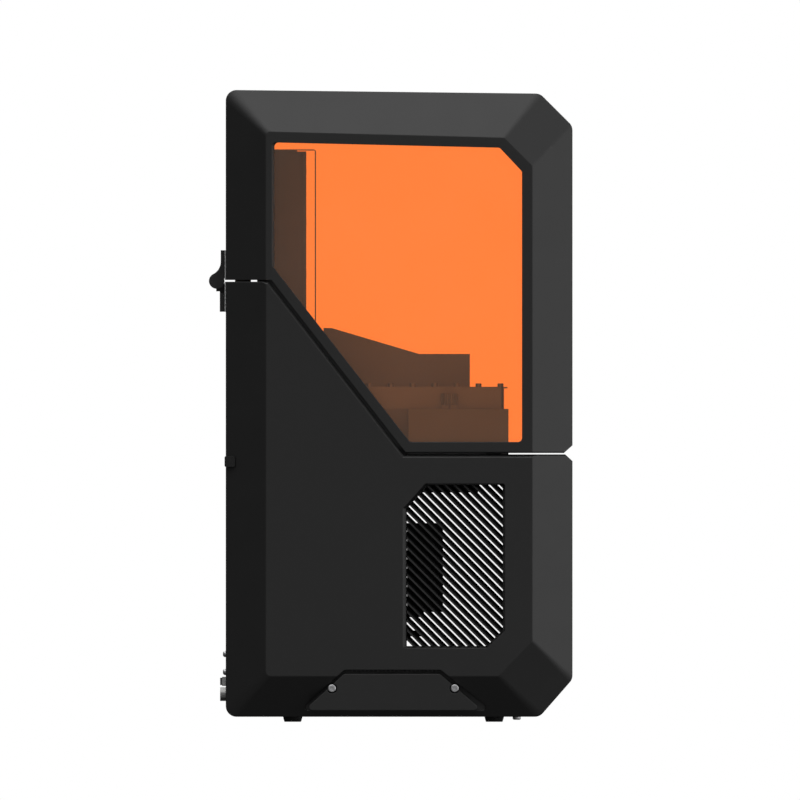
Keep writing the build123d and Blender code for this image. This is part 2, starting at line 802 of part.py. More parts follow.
def side_clip():
    """Small catch let into the rear bevel, just proud of the rear face."""
    clip = block((SHOULDER_X - 1, SHOULDER_X + 6), (329.0, DEPTH + 1.2), (248.4, 259.0))
    return fillet(clip.edges().filter_by(Axis.X), 1.5)


# ---- base inside ----
def frame_post(x, d):
    post = block((x - 6, x + 6), (d - 6, d + 6), (FOOT_HEIGHT + WALL, DECK_Z - WALL))
    return post - block((x - 4, x + 4), (d - 4, d + 4), (FOOT_HEIGHT, DECK_Z))


def bulkhead():
    plate = block((-112, 112), (BULKHEAD_DEPTH, BULKHEAD_DEPTH + 2), (FOOT_HEIGHT + WALL, LIGHT_FLOOR))
    return plate - rod_y(FAN_BORE_R, 0, FILTER_MID_Z, BULKHEAD_DEPTH - 5, BULKHEAD_DEPTH + 5)


def filter_box():
    """Square sleeve round the cooling fan, with two shelves back to the bulkhead."""
    box = block((-FILTER_HALF_X, FILTER_HALF_X), FILTER_DEPTHS, FILTER_HEIGHTS)
    inner = FILTER_HALF_X - 3
    box -= block((-inner, inner), (120, 170), (FILTER_MID_Z - inner, FILTER_MID_Z + inner))
    shelf = block((-FILTER_HALF_X, FILTER_HALF_X), (144.8, BULKHEAD_DEPTH), (102, FILTER_HEIGHTS[0]))
    ledge = block((-FILTER_HALF_X, FILTER_HALF_X), (146.5, BULKHEAD_DEPTH), (83.2, 89.1))
    return group([box + shelf, ledge])


def filter_cartridge():
    """Pleated carbon pad in front of the fan."""
    pad = block((-39, 39), (127, 133), (FILTER_MID_Z - 39, FILTER_MID_Z + 39))
    for index in range(12):
        x = -36 + index * 6.55
        pad -= block((x - 1.2, x + 1.2), (126, 129.5), (FILTER_MID_Z - 36, FILTER_MID_Z + 36))
    return pad


def fan_frame(x, z, d_front):
    half = FAN_SIZE / 2
    frame = block((x - half, x + half), (d_front, d_front + FAN_DEEP), (z - half, z + half))
    frame -= rod_y(FAN_BORE_R, x, z, d_front - 1, d_front + FAN_DEEP + 1)
    hub = rod_y(HUB_R, x, z, d_front + FAN_DEEP - 3, d_front + FAN_DEEP)
    for turn in (45, 135):
        arm = Box(4, 3, FAN_BORE_R * 2 + 2)
        hub += Pos(x, FRONT + d_front + FAN_DEEP - 1.5, z) * Rot(0, turn, 0) * arm
    frame += hub
    for sx in (-1, 1):
        for sz in (-1, 1):
            frame -= rod_y(2.1, x + sx * 35.7, z + sz * 35.7, d_front - 1, d_front + FAN_DEEP + 1)
    return frame


def fan_rotor(x, z, d_front):
    start, end = d_front + 2, d_front + FAN_DEEP - 4
    hub = rod_y(HUB_R, x, z, start, end)
    for index in range(7):
        blade = Box(1.6, end - start - 2, ROTOR_R - HUB_R + 1)
        lean = Pos(0, 0, HUB_R + (ROTOR_R - HUB_R - 1) / 2) * Rot(0, 0, 38) * blade
        hub += Pos(x, FRONT + (start + end) / 2, z) * Rot(0, index * 360 / 7, 0) * lean
    return hub & rod_y(ROTOR_R, x, z, start, end)


def light_housing():
    """Open-topped box that shades the lamps and carries the screen."""
    box = block((-LIGHT_X, LIGHT_X), LIGHT_DEPTHS, (LIGHT_FLOOR + 22, PLATFORM_Z - 3))
    d0, d1 = LIGHT_DEPTHS
    return box - block((-LIGHT_X + 3, LIGHT_X - 3), (d0 + 3, d1 - 3), (LIGHT_FLOOR, PLATFORM_Z))


def led_board():
    d0, d1 = LIGHT_DEPTHS
    return block((-LIGHT_X, LIGHT_X), (d0, d1), (LIGHT_FLOOR + 20, LIGHT_FLOOR + 22))


def led_lenses():
    """Grid of dome lenses over the lamps."""
    domes = []
    for ix in range(8):
        for iy in range(5):
            x, d = -84 + ix * 24, VAT_MID - 48 + iy * 24
            centre = Pos(x, FRONT + d, LIGHT_FLOOR + 22)
            upper = block((x - 9, x + 9), (d - 9, d + 9), (LIGHT_FLOOR + 22, LIGHT_FLOOR + 32))
            domes.append(centre * Sphere(8) & upper)
    return group(domes)


def heat_sink():
    d0, d1 = LIGHT_DEPTHS
    sink = block((-LIGHT_X, LIGHT_X), (d0, d1), (LIGHT_FLOOR + 16, LIGHT_FLOOR + 20))
    for index in range(18):
        x = -LIGHT_X + 3 + index * (2 * LIGHT_X - 6) / 17
        sink += block((x - 0.9, x + 0.9), (d0, d1), (LIGHT_FLOOR, LIGHT_FLOOR + 16))
    return sink


def mainboard():
    board = block((-105, -5), (316, 317.6), (70, 190))
    for x, z, w, h, deep in (
        (-80, 160, 18, 18, 3),
        (-40, 165, 14, 14, 2.5),
        (-60, 110, 30, 12, 9),
        (-25, 100, 10, 24, 11),
        (-90, 90, 12, 12, 8),
    ):
        board += block((x - w / 2, x + w / 2), (316 - deep, 316), (z - h / 2, z + h / 2))
    return board


def board_pillars():
    pillars = []
    for x in (-100, -10):
        for z in (75, 185):
            pillars.append(rod_y(3, x, z, 317.6, DEPTH - WALL))
    return group(pillars)


# ---- Z column ----
def mast():
    column = block((-MAST_HALF_X, MAST_HALF_X), (MAST_FRONT, MAST_REAR), (DECK_Z, MAST_TOP - COVER_THICK))
    channel = MAST_HALF_X - MAST_WALL
    column -= block((-channel, channel), (MAST_FRONT - 1, MAST_REAR - 6), (DECK_Z + 10, MAST_TOP + 1))
    column -= rod(8, 0, SCREW_DEPTH, DECK_Z - 1, DECK_Z + 12)
    return column


def rail():
    half = RAIL_WIDE / 2
    bar = block((RAIL_X - half, RAIL_X + half), (MAST_FRONT - RAIL_HIGH, MAST_FRONT), (DECK_Z + 2, 556))
    notch = 1.4
    for side in (-1, 1):
        x = RAIL_X + side * half
        bar -= block((x - notch, x + notch), (MAST_FRONT - 5.5, MAST_FRONT - 3), (DECK_Z, 560))
    return bar


def mast_cover():
    """Bent sheet: a flange over the column's top, then straight down in front of it."""
    cover = block(
        (-COVER_HALF_X, COVER_HALF_X), (COVER_DEPTH, MAST_REAR), (MAST_TOP - COVER_THICK, MAST_TOP)
    )
    cover += block(
        (-COVER_HALF_X, COVER_HALF_X), (COVER_DEPTH, COVER_DEPTH + COVER_THICK), (DECK_Z, MAST_TOP)
    )
    bend = cover.edges().filter_by(Axis.X)
    outside = bend.sort_by(lambda e: e.center().Z - e.center().Y)[-1]
    return fillet(outside, 2.5)


def top_bearing():
    bearing = block((-25, 25), (272, MAST_REAR - 6), (544, 553))
    return bearing - rod(SCREW_R + SCREW_FIT, 0, SCREW_DEPTH, 540, 560)


def drive_motor():
    """Stepper under the deck, in line with the screw."""
    top = DECK_Z - WALL
    body = block((-21.2, 21.2), (SCREW_DEPTH - 21.2, SCREW_DEPTH + 21.2), (top - 48, top))
    return chamfer(body.edges().filter_by(Axis.Z), 4)


def lead_screw():
    bottom = DECK_Z - WALL + GAP
    return rod(SCREW_R, 0, SCREW_DEPTH, DECK_Z + 24, 551) + rod(7.5, 0, SCREW_DEPTH, bottom, DECK_Z + 24)


def cable_duct():
    duct = block((-20, 20), (313.4, 329), (DECK_Z, 450))
    return duct - block((-18, 18), (315.4, 327), (DECK_Z + 2, 451))


def limit_sensor():
    body = block((MAST_HALF_X, MAST_HALF_X + 6), (280, 296), (278, 292))
    return body - block((MAST_HALF_X + 2, MAST_HALF_X + 7), (286, 290), (284, 293))


# ---- vat ----
def vat_platform():
    """Raised box under the vat, wide in front and narrow between the wings of the base."""
    d0, d1 = PLATFORM_DEPTHS
    hollow_x, ceiling = PLATFORM_X - WALL, PLATFORM_Z - WALL
    box = block((-PLATFORM_X, PLATFORM_X), (d0, WING_START), (DECK_Z, PLATFORM_Z))
    box += block((-WING_X, WING_X), (WING_START, d1), (DECK_Z, PLATFORM_Z))
    box -= block((-hollow_x, hollow_x), (d0 + WALL, WING_START - WALL), (DECK_Z - 1, ceiling))
    box -= block((-WING_X + WALL, WING_X - WALL), (WING_START - 4, d1 - WALL), (DECK_Z - 1, ceiling))
    return box - screen_block(PLATFORM_Z - 5, PLATFORM_Z + 1)


def screen_block(z_from, z_to):
    half_x, half_d = SCREEN_HALF
    return block((-half_x, half_x), (VAT_MID - half_d, VAT_MID + half_d), (z_from, z_to))


def lcd_screen():
    return screen_block(PLATFORM_Z - 3, PLATFORM_Z)


def vat_frame():
    frame = block((-VAT_HALF_X, VAT_HALF_X), (VAT_FRONT, VAT_REAR), (PLATFORM_Z, VAT_RIM_Z))
    frame = fillet(frame.edges().filter_by(Axis.Z), 4)
    frame -= block((-VAT_OPEN_X, VAT_OPEN_X), VAT_OPEN_D, (PLATFORM_Z - 1, VAT_RIM_Z + 1))
    frame += block((-VAT_OPEN_X, VAT_OPEN_X), (VAT_FRONT - 3.4, VAT_FRONT), (325.0, 326.4))
    frame -= film_block(PLATFORM_Z - 1, PLATFORM_Z + FILM_THICK)
    for side in (-1, 1):
        ears = sorted((side * VAT_HALF_X, side * (VAT_HALF_X + 12)))
        ear = block(ears, (VAT_KNOB_D - 7, VAT_KNOB_D + 7), (PLATFORM_Z, PLATFORM_Z + 4))
        frame += ear - rod(3.5, side * VAT_KNOB_X, VAT_KNOB_D, PLATFORM_Z - 1, PLATFORM_Z + 6)
    return frame


def film_block(z_from, z_to):
    half_x = VAT_OPEN_X + FILM_EDGE
    d0, d1 = VAT_OPEN_D
    return block((-half_x, half_x), (d0 - FILM_EDGE, d1 + FILM_EDGE), (z_from, z_to))


def vat_film():
    return film_block(PLATFORM_Z, PLATFORM_Z + FILM_THICK)


def rim_screws():
    """Cap screws along both long sides of the vat rim."""
    count, first = 9, VAT_FRONT + 3.4
    pitch = (VAT_REAR - VAT_FRONT - 6.8) / (count - 1)
    heads = []
    for index in range(count):
        for x in (-VAT_HALF_X + 5, VAT_HALF_X - 5):
            head = rod(2.9, x, first + index * pitch, VAT_RIM_Z, VAT_RIM_Z + 3.3)
            heads.append(head - rod(1.4, x, first + index * pitch, VAT_RIM_Z + 1.6, VAT_RIM_Z + 4))
    return group(heads)


def vat_knob():
    """Thumb screw with a scalloped head that holds an ear of the vat down."""
    head = rod(8.0, VAT_KNOB_X, VAT_KNOB_D, PLATFORM_Z + 4 + GAP, PLATFORM_Z + 15)
    for index in range(12):
        angle = index * math.tau / 12
        head -= rod(1.2, VAT_KNOB_X + 8.3 * math.cos(angle), VAT_KNOB_D + 8.3 * math.sin(angle), 300, 330)
    return head + rod(3.0, VAT_KNOB_X, VAT_KNOB_D, PLATFORM_Z + GAP, PLATFORM_Z + 6)


# ---- Z carriage ----
def bearing_block():
    """Runner that straddles its rail."""
    half, clear = 12.0, GAP
    body = block((RAIL_X - half, RAIL_X + half), (RUNNER_DEPTH, 266.5), CARRIAGE_Z)
    slot = RAIL_WIDE / 2 + clear
    body -= block((RAIL_X - slot, RAIL_X + slot), (MAST_FRONT - RAIL_HIGH - clear, 270), (290, 360))
    return body


def carriage_plate():
    plate = block((-CHEEK_X, CHEEK_X), (PLATE_DEPTH, RUNNER_DEPTH), CARRIAGE_Z)
    plate += block((-16, 16), (RUNNER_DEPTH, SCREW_DEPTH + 11), (312, 338))
    return plate - rod(SCREW_R + SCREW_FIT, 0, SCREW_DEPTH, 290, 360)


def arm_cheek():
    """Side plate of the arm, outside the column's cover and down to the build plate."""
    return prism(flat(ARM_OUTLINE), CHEEK_X, CHEEK_X + CHEEK_THICK)


def arm_beam():
    beam = block((-CHEEK_X, CHEEK_X), (100.1, 244), ARM_BEAM_Z)
    for d in (212, 226):
        beam -= block((-40, 40), (d - 4, d + 4), (330, 350))
    return beam - rod(6, 0, VAT_MID, 330, 350)


def build_plate():
    half_x, half_d = BUILD_X / 2, BUILD_Y / 2
    plate = block((-half_x, half_x), (VAT_MID - half_d, VAT_MID + half_d), (PLATE_BOTTOM, PLATE_TOP))
    return fillet(plate.edges().filter_by(Axis.Z), 3)


def platform_mount():
    mount = block((-50, 50), (VAT_MID - 38, VAT_MID + 38), (PLATE_TOP, ARM_BEAM_Z[0]))
    return mount - rod(6, 0, VAT_MID, PLATE_TOP + 3, 340)


def level_screws():
    heads = []
    for x in (-40, 40):
        for d in (VAT_MID - 28, VAT_MID + 28):
            head = rod(4.2, x, d, ARM_BEAM_Z[1], ARM_BEAM_Z[1] + 4)
            heads.append(head - rod(2, x, d, ARM_BEAM_Z[1] + 2, 360))
    return group(heads)


def platform_knob():
    """Star knob that clamps the build plate to the arm."""
    low, high = ARM_BEAM_Z[1] + GAP, 358.2
    knob = rod(19, 0, VAT_MID, low, high)
    for index in range(8):
        angle = index * math.tau / 8
        knob -= rod(4.5, 21 * math.cos(angle), VAT_MID + 21 * math.sin(angle), 340, 365)
    knob = fillet(knob.edges().group_by(Axis.Z)[-1], 1.2)
    return knob + rod(5.7, 0, VAT_MID, PLATE_TOP + 3 + GAP, low)


def lid_bumper(x):
    return block((x - 2.5, x + 2.5), (70, 84), (SLOT_Z[0], SLOT_Z[1] - GAP))


# ---- write every node ----
def main():
    os.makedirs("parts", exist_ok=True)
    outer, hollow = outer_form(), inner_form()

    shell = lid_shell(outer, hollow)
    right_lid = lid_side(shell, hollow)
    save("lid_side_right", right_lid)
    save("lid_side_left", mirrored(right_lid))
    middle = lid_middle(shell)
    save("lid_front_panel", lid_front(middle))
    save("lid_top_cover", lid_top(middle))
    save("side_windows", both(side_pane()))
    save("window_front", front_pane())
    save("window_clips", group([both(side_pane_clip()), front_pane_clip(), both(lid_lip(hollow))]))
    save("hinge_leaves_lid", both(hinge_lid()))
    save("hinge_screws_lid", hinge_screws(AXIS_Z + HINGE_SCREW_RISE, LEAF_BACK))
    save("hinge_shims_lid", both(hinge_shim((LID_REAR_Z, AXIS_Z + LEAF_FAR))))

    right_base = base_side(outer, hollow)
    save("base_side_right", right_base)
    save("base_side_left", mirrored(right_base))
    centre = base_middle(outer, hollow)
    save("base_front_panel", base_front(centre))
    save("base_bottom_panel", base_bottom(centre))
    save("base_rear_panel", base_rear(centre))
    save("deck_plate", deck_plate())
    save("inner_cheeks", both(inner_cheek()))
    save("side_grilles", both(louvre_panel()))
    save("skirt_plates", both(skirt_plate()))
    save("skirt_screws", both(group([skirt_screw(d, z) for d, z in SKIRT_SCREWS])))
    save("feet", group([foot(x, d) for x in (-95, 95) for d in (76.3, 272.7)]))
    rear = [dome_head(3.1, 2.8, DEPTH, x, z) for x, z in ((-95, 66.1), (-95, 48.6))]
    under = [bottom_screw(x, 54.3) for x in (-95, 95)]
    flush = hinge_screws(AXIS_Z - HINGE_SCREW_RISE, LEAF_BACK + 0.9)
    save("case_screws", group([flush] + rear + under))
    save("hinge_leaves_base", both(hinge_base()))
    save("hinge_shims_base", both(hinge_shim((AXIS_Z - LEAF_FAR, BASE_REAR_Z))))
    save("hinge_pins", both(hinge_pin()))
    save("power_jack", group([power_jack(), power_jack_pins()]))
    save("switch_housing", switch_housing())
    save("switch_rocker", rocker())
    save("touch_screen", touch_screen())
    save("usb_port", usb_port())
    save("rubber_stops", both(group([side_clip(), lid_bumper(130.5), base_lip(hollow)])))

    posts = [frame_post(x, d) for x in (-104, 104) for d in (48, 296)]
    save("inner_frame", group(posts + [bulkhead()]))
    save("filter_box", filter_box())
    save("filter_cartridge", filter_cartridge())
    exhaust_depth = DEPTH - WALL - FAN_DEEP
    fans = [(0, FILTER_MID_Z, COOLING_FAN_DEPTH), (VENT_X, VENT_Z, exhaust_depth)]
    save("fan_frames", group([fan_frame(*place) for place in fans]))
    save("cooling_fan_rotor", fan_rotor(*fans[0]))
    save("exhaust_fan_rotor", fan_rotor(*fans[1]))
    save("light_housing", light_housing())
    save("heat_sink", heat_sink())
    boards = [mainboard(), board_pillars(), display_board(), led_board(), led_lenses()]
    save("circuit_boards", group(boards))

    save("mast", mast())
    save("rails", both(rail()))
    save("mast_cover", mast_cover())
    save("top_bearing", top_bearing())
    save("drive_motor", drive_motor())
    save("lead_screw", lead_screw())
    save("cable_duct", group([cable_duct(), limit_sensor()]))

    save("vat_platform", vat_platform())
    save("lcd_screen", lcd_screen())
    save("vat_frame", vat_frame())
    save("vat_film", vat_film())
    save("vat_rim_screws", rim_screws())
    save("vat_knob_right", vat_knob())
    save("vat_knob_left", mirrored(vat_knob()))

    save("bearing_blocks", both(bearing_block()))
    save("carriage_plate", carriage_plate())
    save("arm", group([both(arm_cheek()), arm_beam()]))
    save("build_plate", build_plate())
    save("platform_mount", group([platform_mount(), level_screws()]))
    save("platform_knob", platform_knob())


main()
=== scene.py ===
import json
import math

import bmesh
import bpy
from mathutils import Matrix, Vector


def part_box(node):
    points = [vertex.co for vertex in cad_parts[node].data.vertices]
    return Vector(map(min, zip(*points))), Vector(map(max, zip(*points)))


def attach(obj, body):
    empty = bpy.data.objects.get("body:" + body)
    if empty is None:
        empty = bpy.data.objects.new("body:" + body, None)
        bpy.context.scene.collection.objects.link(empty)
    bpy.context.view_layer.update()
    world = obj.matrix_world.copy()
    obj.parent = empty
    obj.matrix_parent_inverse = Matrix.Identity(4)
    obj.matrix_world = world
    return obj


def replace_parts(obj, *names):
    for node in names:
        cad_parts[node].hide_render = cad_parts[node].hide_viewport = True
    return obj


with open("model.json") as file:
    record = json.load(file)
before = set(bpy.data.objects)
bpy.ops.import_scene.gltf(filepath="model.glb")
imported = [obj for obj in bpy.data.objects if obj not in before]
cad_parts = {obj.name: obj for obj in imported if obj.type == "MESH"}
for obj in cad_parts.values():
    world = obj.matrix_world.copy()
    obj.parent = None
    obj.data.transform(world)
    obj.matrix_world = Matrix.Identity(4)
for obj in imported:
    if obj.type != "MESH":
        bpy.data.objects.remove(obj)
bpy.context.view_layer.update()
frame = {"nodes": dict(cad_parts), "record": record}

MM = 0.001
NODES = frame["nodes"]


# ---- nodes ----
def add_node(tree, kind, inputs, **settings):
    """A shader node with its settings, and each input either linked from a socket or set to a value."""
    made = tree.nodes.new("ShaderNode" + kind)
    for key, value in settings.items():
        setattr(made, key, value)
    for key, value in inputs.items():
        if isinstance(value, bpy.types.NodeSocket):
            tree.links.new(value, made.inputs[key])
        else:
            made.inputs[key].default_value = value
    return made


# ---- materials ----
EDGE_FLAT = 0.995
EDGE_SHARP = 0.90
PATCH_SCALES = {"colour": 9.0, "gloss": 35.0, "wear": 60.0}
PATCH_SHADE = 0.06
PATCH_GLOSS = 0.015
NOISE_LOW = 0.3
NOISE_HIGH = 0.7
WEAR_WIDTH = 1.6
GRAIN_DEPTH = 0.12 * MM
METAL_DULL = 0.8
METAL_STREAKS = 0.08


class Shade:
    """A material with a Principled shader and short calls that add procedural nodes to it."""

    def __init__(self, name, **values):
        self.material = bpy.data.materials.new(name)
        self.material.use_nodes = True
        self.tree = self.material.node_tree
        self.bsdf = next(n for n in self.tree.nodes if n.type == "BSDF_PRINCIPLED")
        self.out = next(n for n in self.tree.nodes if n.type == "OUTPUT_MATERIAL")
        for key, value in values.items():
            self.bsdf.inputs[key.replace("_", " ")].default_value = value

    def node(self, kind, inputs, **settings):
        return add_node(self.tree, kind, inputs, **settings)

    def place(self, stretch=(1, 1, 1)):
        coords = self.node("TexCoord", {}).outputs["Object"]
        return self.node("Mapping", {"Vector": coords, "Scale": stretch}).outputs["Vector"]

    def noise(self, scale, detail=3.0, stretch=(1, 1, 1)):
        inputs = {"Vector": self.place(stretch), "Scale": scale, "Detail": detail}
        return self.node("TexNoise", inputs).outputs["Fac"]

    def cell_borders(self, scale):
        inputs = {"Vector": self.place(), "Scale": scale}
        return self.node("TexVoronoi", inputs, feature="DISTANCE_TO_EDGE").outputs["Distance"]

    def remap(self, value, low, high, to_low, to_high):
        inputs = {"Value": value, "From Min": low, "From Max": high, "To Min": to_low, "To Max": to_high}
        return self.node("MapRange", inputs).outputs["Result"]

    def spread(self, value, middle, half):
        """A noise made into a value that varies by half on either side of the middle."""
        return self.remap(value, NOISE_LOW, NOISE_HIGH, middle - half, middle + half)

    def blend(self, factor, first, second):
        return self.node("Mix", {0: factor, 6: first, 7: second}, data_type="RGBA").outputs[2]

    def product(self, first, second):
        return self.node("Math", {0: first, 1: second}, operation="MULTIPLY").outputs[0]

    def rounded(self, radius):
        """The normal as if every edge had this radius."""
        return self.node("Bevel", {"Radius": radius}, samples=4).outputs["Normal"]

    def edges(self, radius):
        """1 on the edges of the shape and 0 on its faces."""
        true = self.node("NewGeometry", {}).outputs["Normal"]
        soft = self.rounded(radius)
        same = self.node("VectorMath", {0: true, 1: soft}, operation="DOT_PRODUCT").outputs["Value"]
        return self.remap(same, EDGE_FLAT, EDGE_SHARP, 0.0, 1.0)

    def bump(self, height, strength, distance, normal=None):
        inputs = {"Height": height, "Strength": strength, "Distance": distance}
        if normal is not None:
            inputs["Normal"] = normal
        return self.node("Bump", inputs).outputs["Normal"]

    def set(self, key, value):
        self.tree.links.new(value, self.bsdf.inputs[key])


def grey(value):
    return (value, value, value, 1.0)


def moulded(name, shade, roughness, grain=900.0, bump=0.25, round_edge=0.5, worn=0.035):
    """Moulded plastic: fine spark texture, slight patches of gloss and paler, rubbed edges."""
    s = Shade(name)
    patches = s.noise(PATCH_SCALES["colour"], 4.0)
    colour = s.blend(patches, grey(shade * (1 - PATCH_SHADE)), grey(shade * (1 + PATCH_SHADE)))
    rubbed = s.product(s.edges(round_edge * WEAR_WIDTH * MM), s.noise(PATCH_SCALES["wear"], 5.0))
    s.set("Base Color", s.blend(rubbed, colour, grey(worn)))
    s.set("Roughness", s.spread(s.noise(PATCH_SCALES["gloss"], 4.0), roughness, PATCH_GLOSS))
    s.set("Normal", s.bump(s.noise(grain, 2.0), bump, GRAIN_DEPTH, s.rounded(round_edge * MM)))
    return s.material


def metal(name, colour, roughness, stretch=(1, 1, 1), scale=400.0, bump=0.15):
    """Bare or anodised metal with a drawn or blasted surface."""
    s = Shade(name, Metallic=1.0)
    streaks = s.noise(scale, 4.0, stretch)
    darker = tuple(c * METAL_DULL for c in colour) + (1.0,)
    s.set("Base Color", s.blend(s.noise(20.0, 4.0), darker, tuple(colour) + (1.0,)))
    s.set("Roughness", s.spread(streaks, roughness, METAL_STREAKS))
    s.set("Normal", s.bump(streaks, bump, 0.05 * MM, s.rounded(0.3 * MM)))
    return s.material


PANE_TINT = (0.98, 0.645, 0.37, 1.0)
PANE_SHINE = 0.05


def amber_acrylic():
    """Tinted acrylic: each face of a pane tints what is behind it and adds a shine, more at a slant."""
    s = Shade("amber_acrylic")
    clear = s.node("BsdfTransparent", {"Color": PANE_TINT})
    smear = s.remap(s.noise(14.0, 4.0), 0.3, 0.75, PANE_SHINE * 0.95, PANE_SHINE * 1.1)
    even = s.node("BsdfGlossy", {"Color": smear, "Roughness": 0.1})
    slanted = s.node("BsdfGlossy", {"Color": (1, 1, 1, 1), "Roughness": 0.05})
    gloss = s.remap(s.node("Fresnel", {"IOR": 1.45}).outputs[0], 0.035, 1.0, 0.0, 0.95)
    mix = s.node("MixShader", {0: gloss, 1: clear.outputs[0], 2: slanted.outputs[0]})
    both = s.node("AddShader", {0: mix.outputs[0], 1: even.outputs[0]})
    s.tree.links.new(both.outputs[0], s.out.inputs["Surface"])
    return s.material


def clear_film():
    s = Shade("clear_film")
    clear = s.node("BsdfTransparent", {"Color": (0.9, 0.92, 0.95, 1)})
    shine = s.node("BsdfGlossy", {"Roughness": 0.12})
    share = s.spread(s.noise(8.0), 0.15, 0.05)
    mix = s.node("MixShader", {0: share, 1: clear.outputs[0], 2: shine.outputs[0]})
    s.tree.links.new(mix.outputs[0], s.out.inputs["Surface"])
    return s.material


def black_glass(name, shade=0.006):
    s = Shade(name, IOR=1.5)
    s.set("Base Color", s.blend(s.noise(30.0), grey(shade * 0.7), grey(shade * 1.3)))
    s.set("Roughness", s.remap(s.noise(70.0, 5.0), 0.3, 0.75, 0.06, 0.16))
    s.set("Normal", s.rounded(0.3 * MM))
    return s.material


def board():
    s = Shade("circuit_board")
    tracks = s.remap(s.cell_borders(420.0), 0.02, 0.06, 1.0, 0.0)
    s.set("Base Color", s.blend(tracks, (0.006, 0.06, 0.025, 1), (0.02, 0.14, 0.06, 1)))
    s.set("Roughness", s.spread(s.noise(120.0), 0.4, 0.1))
    s.set("Normal", s.bump(tracks, 0.3, 0.1 * MM))
    return s.material


def filter_felt():
    s = Shade("filter_felt", Roughness=0.95)
    fibres = s.noise(1500.0, 6.0)
    s.set("Base Color", s.blend(fibres, grey(0.008), grey(0.04)))
    s.set("Normal", s.bump(fibres, 0.8, 0.4 * MM))
    return s.material


def pale_floor():
    s = Shade("pale_floor", Roughness=0.9)
    s.set("Base Color", s.blend(s.noise(1.5, 2.0), grey(0.86), grey(0.89)))
    return s.material


UPRIGHT = (40, 40, 1)
SLOT_MATERIALS = {
    "black_shell": moulded("shell_plastic", 0.011, 0.38, round_edge=1.0, worn=0.02),
    "black_inner": moulded("inner_plastic", 0.012, 0.6),
    "black_sheet": moulded("powder_coat", 0.045, 0.5, grain=1500.0, bump=0.4, worn=0.07),
    "grey_fitting": moulded("fitting_plastic", 0.42, 0.4, worn=0.5),
    "jack_metal": metal("jack_nickel", (0.42, 0.42, 0.41), 0.35),
    # Light grey shims beside the hinge leaves: their pale colour is partly the shims' own and partly a
    # painted highlight along the hinge edges.
    "shim_grey": moulded("pale_shim_painted_highlight", 0.6, 0.5, worn=0.65),
    "amber_pane": amber_acrylic(),
    "hinge_black": moulded("hinge_paint", 0.009, 0.45, worn=0.03),
    "screw_steel": metal("screw_steel", (0.55, 0.55, 0.56), 0.34),
    "pin_steel": metal("ground_steel", (0.6, 0.6, 0.62), 0.25, UPRIGHT),
    # Rubber stops in the parting gap and the feet: real black rubber, made darker still so the gap looks
    # black, which is partly painted shade.
    "rubber_black": moulded("rubber", 0.005, 0.85, grain=2500.0, bump=0.5, worn=0.01),
    "glossy_black": black_glass("glossy_black"),
    "fan_plastic": moulded("fan_plastic", 0.016, 0.4),
    "carbon_pad": filter_felt(),
    "board_green": board(),
    # Column: plain dark grey metal.
    "mast_alu": metal("column_dark_metal", (0.06, 0.06, 0.062), 0.42, UPRIGHT),
    "motor_steel": metal("motor_steel", (0.2, 0.2, 0.21), 0.4),
    "screen_glass": black_glass("screen_glass", 0.03),
    "vat_alu": metal("vat_anodised", (0.12, 0.12, 0.125), 0.42),
    "film_clear": clear_film(),
    "knob_black": moulded("knob_plastic", 0.04, 0.45, worn=0.06),
    "block_steel": metal("runner_steel", (0.5, 0.5, 0.52), 0.3),
    "arm_dark": metal("arm_anodised", (0.09, 0.09, 0.093), 0.45),
    "plate_alu": metal("blasted_aluminium", (0.62, 0.62, 0.64), 0.5, scale=1200.0, bump=0.5),
}
for part in frame["record"]["subparts"]:
    for slot in NODES[part["node"]].material_slots:
        slot.material = SLOT_MATERIALS[part["material_slot"]]


# ---- mesh helpers ----
def piece(name, mesh, body, slot, smooth=False):
    """A new object from a bmesh that rides on a body and takes a record slot's finish."""
    data = bpy.data.meshes.new(name)
    bmesh.ops.recalc_face_normals(mesh, faces=mesh.faces[:])
    mesh.to_mesh(data)
    mesh.free()
    for polygon in data.polygons:
        polygon.use_smooth = smooth
    data.materials.append(SLOT_MATERIALS[slot])
    made = bpy.data.objects.new(name, data)
    bpy.context.collection.objects.link(made)
    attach(made, body)
    return made


def middle_and_size(node):
    """The middle and the size of a node's box."""
    low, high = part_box(node)
    return (low + high) / 2, high - low


def loop_faces(mesh, first, second):
    """Quads between two rings of the same number of vertices."""
    count = len(first)
    for i in range(count):
        j = (i + 1) % count
        mesh.faces.new((first[i], first[j], second[j], second[i]))


def skin(mesh, rings):
    """A closed form through a row of rings, with a flat face at each end."""
    for first, second in zip(rings, rings[1:]):
        loop_faces(mesh, first, second)
    mesh.faces.new(rings[0])
    mesh.faces.new(rings[-1])


def lathe(mesh, profile, centre, axis="Z", count=48):
    """A closed turned form: profile is (radius, distance along the axis) from end to end."""
    rings = []
    for radius, along in profile:
        ring = []
        for i in range(count):
            angle = i * math.tau / count
            u, v = radius * math.cos(angle), radius * math.sin(angle)
            offset = Vector((u, v, along)) if axis == "Z" else Vector((u, along, v))
            ring.append(mesh.verts.new(Vector(centre) + offset))
        rings.append(ring)
    skin(mesh, rings)


def rounded_ring(mesh, centre, y, half_x, half_z, radius, count=8):
    """Vertices round an upright rectangle with rounded corners, at the depth y."""
    ring = []
    for sx, sz, start in ((1, 1, 0), (-1, 1, 90), (-1, -1, 180), (1, -1, 270)):
        for i in range(count + 1):
            angle = math.radians(start + 90 * i / count)
            x = sx * (half_x - radius) + radius * math.cos(angle)
            z = sz * (half_z - radius) + radius * math.sin(angle)
            ring.append(mesh.verts.new((centre.x + x, y, centre.z + z)))
    return ring


# ---- lead screw ----
THREAD_LEAD = 4 * MM
THREAD_DEPTH = 0.9 * MM
THREAD_CREST = 6 * MM
THREAD_STEPS = 10
THREAD_SIDES = 32
CREST_SHARE = 0.3
FLANK_SHARE = 0.35
COUPLER_HEIGHT = 27 * MM
COUPLER_BANDS = (8 * MM, 19 * MM)
COUPLER_GROOVE = 0.6 * MM


